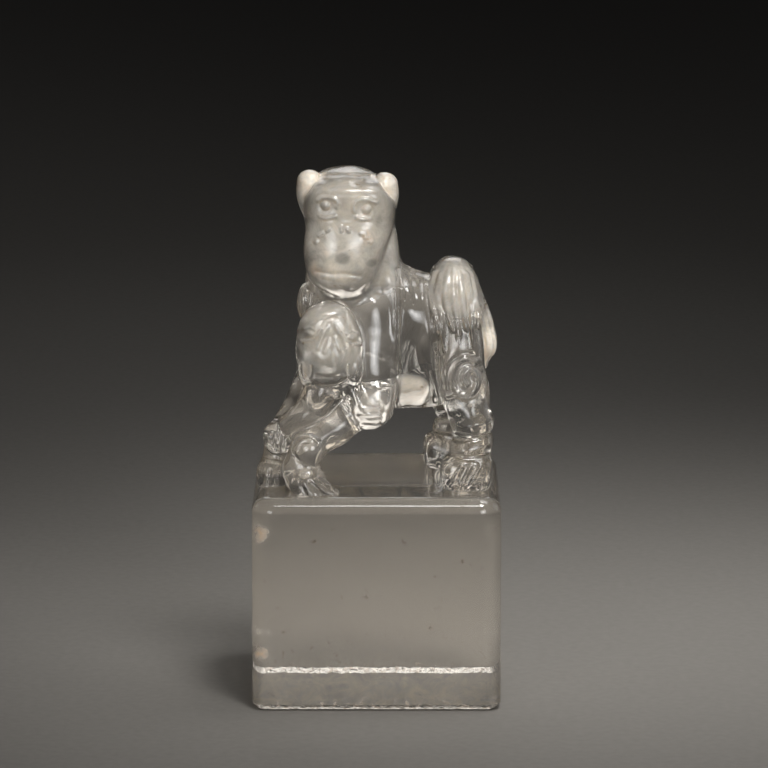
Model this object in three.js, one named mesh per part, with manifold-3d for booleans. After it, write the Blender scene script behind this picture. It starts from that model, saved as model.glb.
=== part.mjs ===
// Rock crystal seal: a square block with a guardian lion and its cub carved on top.
// Millimetres, +Z up. The origin is the middle of the seal face, the flat underside of the block.
// X runs along the lion from its chest (-X) to its tail (+X), and its head looks towards -Y.
// The real seal is cut from a single crystal. Here each carved mass is a solid of its own,
// and neighbours are parted by one narrow saw gap.
import * as THREE from "three";
import { mergeVertices } from "three/addons/utils/BufferGeometryUtils.js";
import Module from "manifold-3d";

const wasm = await Module();
wasm.setup();

// Saw gap between neighbouring masses
const SAW_GAP = 0.3;

// Seal block
const BLOCK_WIDTH = 40;
const BLOCK_DEPTH = 40;
const BLOCK_HEIGHT = 34.5;
const BLOCK_CORNER = 2.2;
const SHOULDER_RADIUS = 1.6;
const FACE_BEVEL = 0.4;

// Lion's body, in heights above the block's top
const BELLY_RISE = 11;
const BODY_HEIGHT = 22.8;
const BODY_DEPTH = 17.6;
const BODY_LENGTH = 21.7;
const CHEST_SHIFT = -4.3;
const CHEST_WIDTH = 15.6;
const CHEST_DEPTH = 16.6;
const NECK_WIDTH = 15.4;
const NECK_DEPTH = 14;

// Lion's head, turned from the body's line to look over the block's front
const HEAD_WIDTH = 14.8;
const HEAD_HEIGHT = 18.6;
const HEAD_DEPTH = 16.4;
const HEAD_FORWARD = 3;
const HEAD_TURN = THREE.MathUtils.degToRad(-8);
const NECK_LAP = 2;
const CROWN_WIDTH = 9;
const CROWN_RISE = 1;
const MUZZLE_WIDTH = 11.6;
const MUZZLE_HEIGHT = 10.2;
const MUZZLE_REACH = 2.2;
const NOSE_WIDTH = 4.2;
const EYE_RADIUS = 1.15;
const EYE_SPREAD = 6.2;
const BROW_RADIUS = 0.65;
const MOUTH_RADIUS = 0.45;
const EAR_WIDTH = 4.6;
const EAR_HEIGHT = 5.6;
const EAR_DEPTH = 7;

// Legs and paws
const EDGE_MARGIN = 0.8;
const FORELEG_GIRTH = 8.2;
const FORELEG_DEPTH = 6.6;
const FAR_FORELEG_GIRTH = 6.6;
const THIGH_LENGTH = 16;
const THIGH_GIRTH = 9.8;
const THIGH_DEPTH = 8;
const HOCK_GIRTH = 7.2;
const HIND_STANCE = 17.6;
const HIND_STAGGER = 2.6;
const NEAR_STRIDE = 6.2;
const FORE_STANCE = 8.4;
const PAW_SETBACK = 3.8;
const PAW_LENGTH = 8.8;
const PAW_DEPTH = 8.8;
const PAW_HEIGHT = 5.6;
const FAR_PAW_LENGTH = 5.4;
const TOE_GROOVES = 3;
const TOE_GROOVE_RADIUS = 0.4;

// Tail plume over the rump
const PLUME_RISE = 2.4;
const PLUME_WIDTH = 8.6;
const PLUME_DEPTH = 13;
const PLUME_DROP = 13;
const PLUME_STRANDS = 4;
const STRAND_RADIUS = 1.5;
const TAIL_TIP_LENGTH = 7.6;
const TAIL_TIP_GIRTH = 4.6;

// Cub that clings to the lion's chest
const CUB_RISE = 23.6;
const CUB_SHIFT = -3;
const CUB_HEAD_WIDTH = 10.6;
const CUB_HEAD_HEIGHT = 12.8;
const CUB_HEAD_DEPTH = 8.4;
const CUB_SNOUT_WIDTH = 5.4;
const CUB_SNOUT_LENGTH = 7;
const CUB_EYE_RADIUS = 0.8;
const CUB_EYE_SPREAD = 6.2;
const CUB_EAR_WIDTH = 2.9;
const CUB_EAR_LENGTH = 6.4;
const CUB_BODY_GIRTH = 7.6;
const CUB_ARM_GIRTH = 4.2;
const CUB_REACH = 6.6;

// How finely round forms are faceted
const LIMB_SIDES = 12;
const STEPS_PER_SPAN = 2;
const DOME_STEPS = 3;
const PILLOW_SIDES = 18;
const SMALL_SIDES = 10;
const FACET_TOLERANCE = 0.02;

// Places that several masses share
const BACK_RISE = BELLY_RISE + BODY_HEIGHT;
const BODY_MIDDLE = BELLY_RISE + BODY_HEIGHT / 2;
const RUMP_END = CHEST_SHIFT + BODY_LENGTH;
const SIDE = BODY_DEPTH / 2;
const HEAD_MIDDLE = BACK_RISE - NECK_LAP + HEAD_HEIGHT / 2;
const FACE = -HEAD_FORWARD - HEAD_DEPTH / 2;
const CUB_X = CHEST_SHIFT + CUB_SHIFT;
const CUB_Y = -CHEST_DEPTH / 2 - CUB_HEAD_DEPTH * 0.42;
const NEAR_HIND_PAW = [BLOCK_WIDTH / 2 - EDGE_MARGIN - PAW_LENGTH / 2, -HIND_STANCE / 2];
const FAR_HIND_PAW = [NEAR_HIND_PAW[0] - HIND_STAGGER, HIND_STANCE / 2];
const NEAR_FORE_PAW = [CHEST_SHIFT - NEAR_STRIDE, -BLOCK_DEPTH / 2 + PAW_SETBACK + PAW_DEPTH / 2];
const FAR_FORE_PAW = [-BLOCK_WIDTH / 2 + EDGE_MARGIN + FAR_PAW_LENGTH / 2, NEAR_FORE_PAW[1] + FORE_STANCE];

// A closed mesh as a solid that can be joined and cut
function solidOf(geometry) {
  const bare = geometry.index ? geometry.toNonIndexed() : geometry.clone();
  bare.deleteAttribute("normal");
  bare.deleteAttribute("uv");
  const merged = mergeVertices(bare, 1e-5);
  return new wasm.Manifold(
    new wasm.Mesh({
      numProp: 3,
      vertProperties: merged.attributes.position.array,
      triVerts: new Uint32Array(merged.index.array),
    }),
  );
}

// A solid back as a three.js geometry
function geometryOf(solid) {
  const mesh = solid.getMesh();
  return new THREE.BufferGeometry()
    .setAttribute("position", new THREE.BufferAttribute(new Float32Array(mesh.vertProperties), 3))
    .setIndex(new THREE.BufferAttribute(new Uint32Array(mesh.triVerts), 1))
    .toNonIndexed();
}

// A closed skin over rings of points that all have the same count; each end closes on its ring's middle
function skin(rings) {
  const count = rings[0].length;
  const points = [];
  const faces = [];
  for (const ring of rings) for (const p of ring) points.push(p.x, p.y, p.z);
  for (const ring of [rings[0], rings[rings.length - 1]]) {
    const middle = ring.reduce((sum, p) => sum.add(p), new THREE.Vector3()).divideScalar(count);
    points.push(middle.x, middle.y, middle.z);
  }
  const first = rings.length * count;
  const lastRing = first - count;
  for (let j = 0; j < count; j++) {
    const next = (j + 1) % count;
    for (let i = 0; i + 1 < rings.length; i++) {
      const a = i * count;
      const b = a + count;
      faces.push(a + j, a + next, b + next, a + j, b + next, b + j);
    }
    faces.push(first, next, j, first + 1, lastRing + j, lastRing + next);
  }
  return new THREE.BufferGeometry()
    .setAttribute("position", new THREE.BufferAttribute(new Float32Array(points), 3))
    .setIndex(faces);
}

// A limb: a rounded section carried along a smooth curve, with domed ends.
// A station is [x, y, z, half size across the body (Y), half size in the plane of the bend].
// The section is an ellipse at power 2 and boxier above it; cap is the domes' height as a share of their radius.
function limb(stations, grow, { sides = LIMB_SIDES, power = 2, cap = 1 } = {}) {
  const path = new THREE.CatmullRomCurve3(stations.map((s) => new THREE.Vector3(s[0], s[1], s[2])));
  const girth = new THREE.CatmullRomCurve3(stations.map((s) => new THREE.Vector3(s[3], s[4], 0)));
  const spans = (stations.length - 1) * STEPS_PER_SPAN;
  const bulge = (share) => Math.sign(share) * Math.abs(share) ** (2 / power);
  const ring = (t, share, shift) => {
    const along = path.getTangent(t);
    const across = new THREE.Vector3(0, 1, 0).addScaledVector(along, -along.y).normalize();
    const inPlane = new THREE.Vector3().crossVectors(along, across);
    const middle = path.getPoint(t).addScaledVector(along, shift);
    const half = girth.getPoint(t);
    return Array.from({ length: sides }, (_, j) => {
      const turn = (2 * Math.PI * (j + 0.5)) / sides;
      return middle
        .clone()
        .addScaledVector(across, (half.x + grow) * share * bulge(Math.cos(turn)))
        .addScaledVector(inPlane, (half.y + grow) * share * bulge(Math.sin(turn)));
    });
  };
  const dome = (t, way) =>
    Array.from({ length: DOME_STEPS }, (_, k) => {
      const lift = (Math.PI / 2) * (1 - (k + 0.4) / DOME_STEPS);
      const half = girth.getPoint(t);
      const height = cap * Math.min(half.x, half.y) + grow;
      return ring(t, Math.cos(lift), way * height * Math.sin(lift));
    });
  const trunk = Array.from({ length: spans + 1 }, (_, i) => ring(i / spans, 1, 0));
  return solidOf(skin([...dome(0, -1), ...trunk, ...dome(1, 1).reverse()]));
}

// A pillow: the surface |x/a|^n + |y/b|^n + |z/c|^n = 1, an ellipsoid at n = 2 and boxier above it
function pillow(middle, half, power, grow, sides = PILLOW_SIDES) {
  const ball = new THREE.SphereGeometry(1, sides, Math.round(sides * 0.6));
  ball.rotateX(Math.PI / 2);
  const at = ball.attributes.position;
  const size = half.map((h) => h + grow);
  for (let i = 0; i < at.count; i++) {
    const way = [at.getX(i), at.getY(i), at.getZ(i)];
    const sum = way.reduce((s, w, k) => s + Math.abs(w / size[k]) ** power, 0);
    const reach = sum ** (-1 / power);
    at.setXYZ(i, middle[0] + way[0] * reach, middle[1] + way[1] * reach, middle[2] + way[2] * reach);
  }
  return solidOf(ball);
}

// Seal block: a rounded square carried up an edge profile with a small bevel below and a round shoulder above.
// Like the figure on it, it is drawn in heights from its top.
function sealBlock(grow) {
  const arcSteps = 5;
  const outline = (inset) => {
    const radius = Math.max(BLOCK_CORNER - inset, BLOCK_CORNER * 0.2) + grow;
    const x = BLOCK_WIDTH / 2 + grow - inset - radius;
    const y = BLOCK_DEPTH / 2 + grow - inset - radius;
    const corners = [[x, y], [-x, y], [-x, -y], [x, -y]];
    return corners.flatMap(([cx, cy], quarter) =>
      Array.from({ length: arcSteps + 1 }, (_, k) => {
        const turn = (Math.PI / 2) * (quarter + k / arcSteps);
        return [cx + radius * Math.cos(turn), cy + radius * Math.sin(turn)];
      }),
    );
  };
  const profile = [[FACE_BEVEL, -BLOCK_HEIGHT - grow], [0, FACE_BEVEL - BLOCK_HEIGHT]];
  for (let k = 0; k <= arcSteps; k++) {
    const turn = (Math.PI / 2) * (k / arcSteps);
    profile.push([
      SHOULDER_RADIUS * (1 - Math.cos(turn)),
      grow - SHOULDER_RADIUS * (1 - Math.sin(turn)),
    ]);
  }
  return solidOf(skin(profile.map(([inset, z]) => outline(inset).map(([x, y]) => new THREE.Vector3(x, y, z)))));
}

// Forequarters: chest and neck as one upright column
function chest(grow) {
  const x = CHEST_SHIFT;
  const deep = CHEST_DEPTH / 2;
  const wide = CHEST_WIDTH / 2;
  return limb(
    [
      [x + wide * 0.1, 0, BELLY_RISE + wide * 0.7, deep * 0.84, wide * 0.82],
      [x, 0, BELLY_RISE + BODY_HEIGHT * 0.38, deep, wide],
      [x, -HEAD_FORWARD * 0.2, BELLY_RISE + BODY_HEIGHT * 0.66, deep * 0.98, wide],
      [x + wide * 0.06, -HEAD_FORWARD * 0.3, BACK_RISE, NECK_DEPTH / 2, NECK_WIDTH / 2],
      [x, -HEAD_FORWARD * 0.4, HEAD_MIDDLE - HEAD_HEIGHT * 0.24, NECK_DEPTH * 0.42, NECK_WIDTH * 0.42],
    ],
    grow,
    { sides: LIMB_SIDES + 4 },
  );
}

// Barrel of the body, from inside the chest to the rump
function torso(grow) {
  const high = BODY_HEIGHT / 2;
  const end = RUMP_END - Math.min(SIDE * 0.94, high * 0.92);
  return limb(
    [
      [CHEST_SHIFT, 0, BODY_MIDDLE, SIDE * 0.9, high * 0.9],
      [CHEST_SHIFT + CHEST_WIDTH / 2, 0, BODY_MIDDLE + 0.2, SIDE, high],
      [(CHEST_SHIFT + CHEST_WIDTH / 2 + end) / 2, 0, BODY_MIDDLE - 0.3, SIDE, high * 0.98],
      [end, 0, BODY_MIDDLE - 0.4, SIDE * 0.94, high * 0.92],
    ],
    grow,
    { sides: LIMB_SIDES + 4 },
  );
}

// A point of the head's own frame, turned with the head about the neck
function onHead(x, y, z) {
  const p = new THREE.Vector3(x, y, z).applyAxisAngle(new THREE.Vector3(0, 0, 1), HEAD_TURN);
  return [p.x + CHEST_SHIFT, p.y, p.z];
}

// Skull, crown and jaw
function skull(grow) {
  const wide = HEAD_WIDTH / 2;
  const deep = HEAD_DEPTH / 2;
  const level = (share) => HEAD_MIDDLE + HEAD_HEIGHT * share;
  const dome = limb(
    [
      [...onHead(-wide * 0.2, -HEAD_FORWARD, level(-0.42)), deep * 0.8, wide * 0.64],
      [...onHead(-wide * 0.1, -HEAD_FORWARD, level(-0.24)), deep * 0.96, wide * 0.88],
      [...onHead(0, -HEAD_FORWARD, level(0.04)), deep, wide],
      [...onHead(0, -HEAD_FORWARD, level(0.26)), deep, wide * 0.97],
      [...onHead(0, -HEAD_FORWARD, level(0.42)), deep * 0.86, wide * 0.8],
    ],
    grow,
    { sides: LIMB_SIDES + 6, power: 3, cap: 0.28 },
  );
  const crown = pillow(
    onHead(0, -HEAD_FORWARD, HEAD_MIDDLE + HEAD_HEIGHT / 2 - CROWN_RISE),
    [CROWN_WIDTH / 2, HEAD_DEPTH * 0.4, CROWN_RISE * 2],
    2.2,
    grow,
    SMALL_SIDES + 4,
  );
  const muzzle = pillow(
    onHead(-MUZZLE_REACH * 0.3, FACE - MUZZLE_REACH + HEAD_DEPTH * 0.25, HEAD_MIDDLE - HEAD_HEIGHT * 0.24),
    [MUZZLE_WIDTH / 2, HEAD_DEPTH * 0.25, MUZZLE_HEIGHT / 2],
    3,
    grow,
  );
  return dome.add(crown).add(muzzle);
}

// The whole head: skull with eyes, brows and nose raised on it, and the mouth cut into it
function head(grow) {
  const eyeLine = HEAD_MIDDLE + HEAD_HEIGHT * 0.2;
  const front = FACE + EYE_RADIUS * 0.35;
  let made = skull(grow);
  for (const way of [-1, 1]) {
    const x = (way * EYE_SPREAD) / 2;
    made = made.add(pillow(onHead(x, front, eyeLine), [EYE_RADIUS, EYE_RADIUS, EYE_RADIUS], 2, grow, SMALL_SIDES));
    const browTop = eyeLine + EYE_RADIUS * 1.7;
    const brow = [
      [...onHead(x - way * EYE_RADIUS * 1.7, front, browTop - EYE_RADIUS), BROW_RADIUS, BROW_RADIUS],
      [...onHead(x - way * EYE_RADIUS, front, browTop), BROW_RADIUS, BROW_RADIUS],
      [...onHead(x + way * EYE_RADIUS * 1.8, front + BROW_RADIUS, browTop), BROW_RADIUS, BROW_RADIUS],
    ];
    made = made.add(limb(brow, grow, { sides: 6 }));
  }
  const nose = pillow(
    onHead(-MUZZLE_REACH * 0.3, FACE - MUZZLE_REACH * 0.7, HEAD_MIDDLE + HEAD_HEIGHT * 0.02),
    [NOSE_WIDTH / 2, MUZZLE_REACH * 0.8, NOSE_WIDTH * 0.4],
    2.2,
    grow,
    SMALL_SIDES,
  );
  const mouthLine = HEAD_MIDDLE - HEAD_HEIGHT * 0.34;
  const lip = FACE - MUZZLE_REACH;
  const mouth = limb(
    [-0.42, 0, 0.42].map((share) => [
      ...onHead(MUZZLE_WIDTH * share - MUZZLE_REACH * 0.3, lip + MUZZLE_WIDTH * share * share * 0.5, mouthLine),
      MOUTH_RADIUS,
      MOUTH_RADIUS,
    ]),
    0,
    { sides: 6 },
  );
  return made.add(nose).subtract(mouth);
}

// An ear: a rounded lobe with a shallow cup, set into an upper corner of the head; way is -1 for the one at -X
function ear(way) {
  return (grow) => {
    const x = way * (HEAD_WIDTH / 2 - EAR_WIDTH * 0.36);
    const z = HEAD_MIDDLE + HEAD_HEIGHT / 2 - EAR_HEIGHT * 0.42;
    const lobe = pillow(
      onHead(x, -HEAD_FORWARD, z),
      [EAR_WIDTH / 2, EAR_DEPTH / 2, EAR_HEIGHT / 2],
      2.3,
      grow,
      SMALL_SIDES + 2,
    );
    if (grow > 0) return lobe;
    const cup = pillow(
      onHead(x, -HEAD_FORWARD - EAR_DEPTH * 0.5, z + EAR_HEIGHT * 0.1),
      [EAR_WIDTH * 0.26, EAR_DEPTH * 0.24, EAR_HEIGHT * 0.26],
      2,
      0,
      SMALL_SIDES - 2,
    );
    return lobe.subtract(cup);
  };
}

// A paw: a low pillow on the block's top with grooves between its toes, which point to -X and -Y
function paw([x, y], length, depth, height, grow) {
  let made = pillow([x, y, height * 0.42], [length / 2, depth / 2, height * 0.58], 2.8, grow, SMALL_SIDES + 4);
  if (grow > 0) return made;
  for (let k = 1; k <= TOE_GROOVES; k++) {
    const share = k / (TOE_GROOVES + 1) - 0.5;
    const from = [x + length * (share + 0.12), y - depth * 0.42, height * 0.86];
    const to = [x + length * (share - 0.12), y - depth * 0.56, height * 0.1];
    const groove = [from, to].map((p) => [...p, TOE_GROOVE_RADIUS, TOE_GROOVE_RADIUS]);
    made = made.subtract(limb(groove, 0, { sides: 6 }));
  }
  return made;
}

// Near foreleg: from the shoulder back to the elbow, then forward and down to its paw
function nearForeleg(grow) {
  const deep = FORELEG_DEPTH / 2;
  const thick = FORELEG_GIRTH / 2;
  const elbow = CHEST_SHIFT + CHEST_WIDTH * 0.3;
  const [pawX, pawY] = NEAR_FORE_PAW;
  const outer = -CHEST_DEPTH / 2;
  const leg = limb(
    [
      [CHEST_SHIFT + CHEST_WIDTH * 0.16, outer + deep * 0.5, BODY_MIDDLE + BODY_HEIGHT * 0.12, deep, thick],
      [elbow, outer + deep * 0.2, BELLY_RISE + thick * 1.05, deep, thick],
      [(elbow + pawX) / 2, (outer + pawY) / 2, (BELLY_RISE + PAW_HEIGHT) * 0.74, deep, thick],
      [pawX, pawY, PAW_HEIGHT * 1.1, deep, thick * 0.82],
      [pawX, pawY, PAW_HEIGHT * 0.6, deep, thick * 0.8],
    ],
    grow,
  );
  return leg.add(paw(NEAR_FORE_PAW, PAW_LENGTH, PAW_DEPTH, PAW_HEIGHT, grow));
}

// Far foreleg: from the far shoulder round the front of the chest to a bent wrist, then down to its paw
function farForeleg(grow) {
  const half = FAR_FORELEG_GIRTH / 2;
  const deep = CHEST_DEPTH / 2;
  const wide = CHEST_WIDTH / 2;
  const [pawX, pawY] = FAR_FORE_PAW;
  const leg = limb(
    [
      [CHEST_SHIFT, deep - half * 0.5, BODY_MIDDLE + half * 0.6, half, half * 1.4],
      [CHEST_SHIFT - wide * 0.5, deep * 0.7, BELLY_RISE + half * 1.9, half * 1.1, half * 1.3],
      [(CHEST_SHIFT - wide + pawX) / 2 + half * 0.6, (deep * 0.4 + pawY) / 2, BELLY_RISE * 0.86, half, half],
      [pawX + half * 0.2, pawY, PAW_HEIGHT * 0.98, half, half * 0.96],
      [pawX, pawY, PAW_HEIGHT * 0.5, half, FAR_PAW_LENGTH * 0.45],
    ],
    grow,
  );
  return leg.add(paw(FAR_FORE_PAW, FAR_PAW_LENGTH, PAW_DEPTH * 0.8, PAW_HEIGHT * 0.8, grow));
}

// A hind leg: broad thigh on the body's side, narrow hock and paw; way is -1 for the near side
function hindLeg(place, way) {
  return (grow) => {
    const [pawX, pawY] = place;
    const flank = way * (SIDE - THIGH_DEPTH * 0.18);
    const hip = BELLY_RISE + THIGH_LENGTH;
    const leg = limb(
      [
        [pawX - PAW_LENGTH * 0.24, flank * 0.92, hip, THIGH_DEPTH * 0.4, THIGH_GIRTH * 0.46],
        [pawX - PAW_LENGTH * 0.18, flank, hip - THIGH_LENGTH * 0.45, THIGH_DEPTH / 2, THIGH_GIRTH / 2],
        [pawX, flank, BELLY_RISE + HOCK_GIRTH * 0.15, THIGH_DEPTH * 0.46, THIGH_GIRTH * 0.45],
        [pawX + PAW_LENGTH * 0.08, pawY, PAW_HEIGHT * 1.3, HOCK_GIRTH * 0.44, HOCK_GIRTH / 2],
        [pawX + PAW_LENGTH * 0.04, pawY, PAW_HEIGHT * 0.6, HOCK_GIRTH * 0.44, HOCK_GIRTH / 2],
      ],
      grow,
    );
    return leg.add(paw(place, PAW_LENGTH, PAW_DEPTH, PAW_HEIGHT, grow));
  };
}

// Middle of the rump, which the tail plume falls over
const PLUME_X = RUMP_END - PLUME_WIDTH * 0.58;

// Tail plume: a domed knot on the rump with strands that fall down both flanks and behind
function plume(grow) {
  const top = BACK_RISE + PLUME_RISE;
  const high = PLUME_DROP * 0.55;
  let made = pillow(
    [PLUME_X, 0, top - high],
    [PLUME_WIDTH / 2, PLUME_DEPTH / 2, high],
    2.4,
    grow,
  );
  for (const way of [-1, 1]) {
    for (let k = 0; k < PLUME_STRANDS; k++) {
      const share = (k + 0.5) / PLUME_STRANDS - 0.5;
      const spread = PLUME_WIDTH * (0.82 + STRAND_RADIUS / PLUME_WIDTH);
      const strand = [
        [PLUME_X + share * spread * 0.6, way * PLUME_DEPTH * 0.16, top - STRAND_RADIUS * 1.15],
        [PLUME_X + share * spread, way * PLUME_DEPTH * 0.42, top - PLUME_DROP * 0.3],
        [PLUME_X + share * spread, way * (SIDE - STRAND_RADIUS * 0.5), top - PLUME_DROP * 0.68],
        [PLUME_X + share * spread, way * (SIDE + STRAND_RADIUS * 0.1), top - PLUME_DROP],
      ];
      const girth = [0.9, 1, 0.9, 0.35].map((g) => g * STRAND_RADIUS);
      made = made.add(limb(strand.map((p, i) => [...p, girth[i], girth[i] * 1.05]), grow, { sides: 8 }));
    }
  }
  return made;
}

// Tail tip: the plume's last lock, curled against the back of the rump
function tailTip(grow) {
  const half = TAIL_TIP_GIRTH / 2;
  const middle = BODY_MIDDLE - half * 0.6;
  return limb(
    [
      [RUMP_END - half * 0.7, 0, BACK_RISE - PLUME_DROP * 0.4, half * 0.8, half * 0.7],
      [RUMP_END + half * 0.1, 0, middle + TAIL_TIP_LENGTH * 0.3, half, half * 0.8],
      [RUMP_END + half * 0.3, 0, middle - TAIL_TIP_LENGTH * 0.2, half * 0.9, half * 0.75],
    ],
    grow,
    { sides: LIMB_SIDES - 4 },
  );
}

// Cub's body, tucked between the lion's forelegs
function cubBody(grow) {
  const half = CUB_BODY_GIRTH / 2;
  const front = -CHEST_DEPTH / 2;
  return limb(
    [
      [CUB_X + half * 0.4, front, CUB_RISE - CUB_HEAD_HEIGHT * 0.3, half, half],
      [CUB_X, front + half * 0.1, BELLY_RISE + half * 0.4, half, half],
      [CUB_X - half, front + half * 0.5, PAW_HEIGHT * 1.25, half * 0.8, half * 0.8],
    ],
    grow,
  );
}

// Cub's skull, with the snout hanging from it
function cubSkull(grow) {
  const round = pillow(
    [CUB_X, CUB_Y, CUB_RISE],
    [CUB_HEAD_WIDTH / 2, CUB_HEAD_DEPTH / 2, CUB_HEAD_HEIGHT / 2],
    2.3,
    grow,
  );
  const snout = pillow(
    [CUB_X + CUB_SNOUT_WIDTH * 0.14, CUB_Y - CUB_HEAD_DEPTH * 0.3, CUB_RISE - CUB_HEAD_HEIGHT * 0.34],
    [CUB_SNOUT_WIDTH / 2, CUB_HEAD_DEPTH * 0.36, CUB_SNOUT_LENGTH / 2],
    2.4,
    grow,
    SMALL_SIDES + 2,
  );
  return round.add(snout);
}

// Cub's head with its eyes
function cubHead(grow) {
  let made = cubSkull(grow);
  for (const way of [-1, 1]) {
    const eye = [
      CUB_X + (way * CUB_EYE_SPREAD) / 2,
      CUB_Y - CUB_HEAD_DEPTH * 0.38,
      CUB_RISE + CUB_HEAD_HEIGHT * 0.17,
    ];
    made = made.add(pillow(eye, [CUB_EYE_RADIUS, CUB_EYE_RADIUS, CUB_EYE_RADIUS], 2, grow, SMALL_SIDES));
  }
  return made;
}

// A cub's ear: a lobe that hangs beside its snout
function cubEar(way) {
  return (grow) =>
    pillow(
      [
        CUB_X + way * (CUB_HEAD_WIDTH / 2 - CUB_EAR_WIDTH * 0.36),
        CUB_Y - CUB_HEAD_DEPTH * 0.2,
        CUB_RISE - CUB_HEAD_HEIGHT * 0.28,
      ],
      [CUB_EAR_WIDTH / 2, CUB_HEAD_DEPTH * 0.26, CUB_EAR_LENGTH / 2],
      2.2,
      grow,
      SMALL_SIDES,
    );
}

// Cub's forepaw, laid across the lion's near foreleg
function cubArm(grow) {
  const half = CUB_ARM_GIRTH / 2;
  const front = -CHEST_DEPTH / 2 - FORELEG_DEPTH * 0.55;
  const rise = CUB_RISE - CUB_HEAD_HEIGHT * 0.72;
  return limb(
    [
      [CUB_X + half, front, rise + half * 0.5, half, half],
      [CUB_X + half + CUB_REACH * 0.6, front - half * 0.1, rise - half * 0.25, half, half * 1.1],
      [CUB_X + half + CUB_REACH, front + half * 0.2, rise - half * 0.45, half * 0.85, half],
    ],
    grow,
    { sides: LIMB_SIDES - 4 },
  );
}

// Rock crystal: clear, faintly smoky, polished
const crystal = new THREE.MeshStandardMaterial({ color: 0xcfc8bc, roughness: 0.08, metalness: 0 });
const milkyCrystal = new THREE.MeshStandardMaterial({ color: 0xd8d2c8, roughness: 0.2, metalness: 0 });

const seal = new THREE.Group();
const carved = [];

// Adds one mass, cut back by the saw gap from every mass carved before it.
// Slivers that the cuts leave beside it are dropped.
function carve(name, material, form) {
  const cut = carved.reduce((made, earlier) => made.subtract(earlier), form(0));
  const [mass] = cut.decompose().sort((a, b) => b.volume() - a.volume());
  carved.push(form(SAW_GAP));
  const mesh = new THREE.Mesh(geometryOf(mass.simplify(FACET_TOLERANCE)), material);
  mesh.name = name;
  mesh.position.z = BLOCK_HEIGHT;
  seal.add(mesh);
}

carve("seal_block", crystal, sealBlock);
carve("lion_chest", crystal, chest);
carve("lion_torso", crystal, torso);
carve("lion_left_ear", milkyCrystal, ear(1));
carve("lion_right_ear", milkyCrystal, ear(-1));
carve("lion_head", milkyCrystal, head);
carve("near_foreleg", crystal, nearForeleg);
carve("far_foreleg", crystal, farForeleg);
carve("near_hind_leg", crystal, hindLeg(NEAR_HIND_PAW, -1));
carve("far_hind_leg", crystal, hindLeg(FAR_HIND_PAW, 1));
carve("tail_plume", crystal, plume);
carve("tail_tip", crystal, tailTip);
carve("cub_body", crystal, cubBody);
carve("cub_head", milkyCrystal, cubHead);
carve("cub_left_ear", milkyCrystal, cubEar(1));
carve("cub_right_ear", milkyCrystal, cubEar(-1));
carve("cub_forepaw", crystal, cubArm);

export default seal;
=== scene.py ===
import math

import bmesh
import bpy
import numpy as np
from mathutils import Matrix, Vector


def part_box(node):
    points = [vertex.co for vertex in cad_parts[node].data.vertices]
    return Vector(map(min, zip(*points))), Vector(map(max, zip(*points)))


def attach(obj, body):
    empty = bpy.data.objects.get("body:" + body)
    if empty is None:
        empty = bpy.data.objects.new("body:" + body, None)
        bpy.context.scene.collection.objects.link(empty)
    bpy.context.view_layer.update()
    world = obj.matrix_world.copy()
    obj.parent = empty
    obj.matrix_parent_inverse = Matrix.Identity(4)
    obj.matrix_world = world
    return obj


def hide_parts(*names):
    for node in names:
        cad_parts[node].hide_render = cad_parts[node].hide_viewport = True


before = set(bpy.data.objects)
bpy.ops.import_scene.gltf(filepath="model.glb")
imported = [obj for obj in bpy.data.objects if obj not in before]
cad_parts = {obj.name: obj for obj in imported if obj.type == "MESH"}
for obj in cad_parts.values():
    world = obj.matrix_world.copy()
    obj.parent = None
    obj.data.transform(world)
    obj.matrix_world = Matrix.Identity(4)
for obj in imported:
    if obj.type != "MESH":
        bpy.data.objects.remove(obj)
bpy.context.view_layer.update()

# Lengths below are millimetres. The figure is drawn in heights above the block's top.
MM = 0.001
BLOCK_LOW, BLOCK_HIGH = (np.array(corner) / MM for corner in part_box("seal_block"))
BLOCK_TOP = BLOCK_HIGH[2]

# The lattice on which the carved figure is worked out: its corners, the distance between its points, the
# finer distance for the two heads, and the depth of a point that no form reaches
FIGURE_LOW = np.array([-20.6, -18.6, -1.2])
FIGURE_HIGH = np.array([21.4, 14.6, 53.2])
GRAIN, FACE_GRAIN = 0.2, 0.13
OUTSIDE = 30.0
FRONT, BACK = FIGURE_LOW[1], FIGURE_HIGH[1]

# The meshed points slide onto the surface in this many steps, none longer than this
SLIDES, LONGEST_SLIDE = 4, 0.2

# Carved lines and knobs are worked out as far as this many of their own widths
FADE = 2.5

# Strands of hair: their height from groove to crest, and the share of it below the plain surface
STRAND_RISE, STRAND_SUNK = 0.42, 0.75

# Keeps a division from running into zero
TINY = 1e-6


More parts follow.
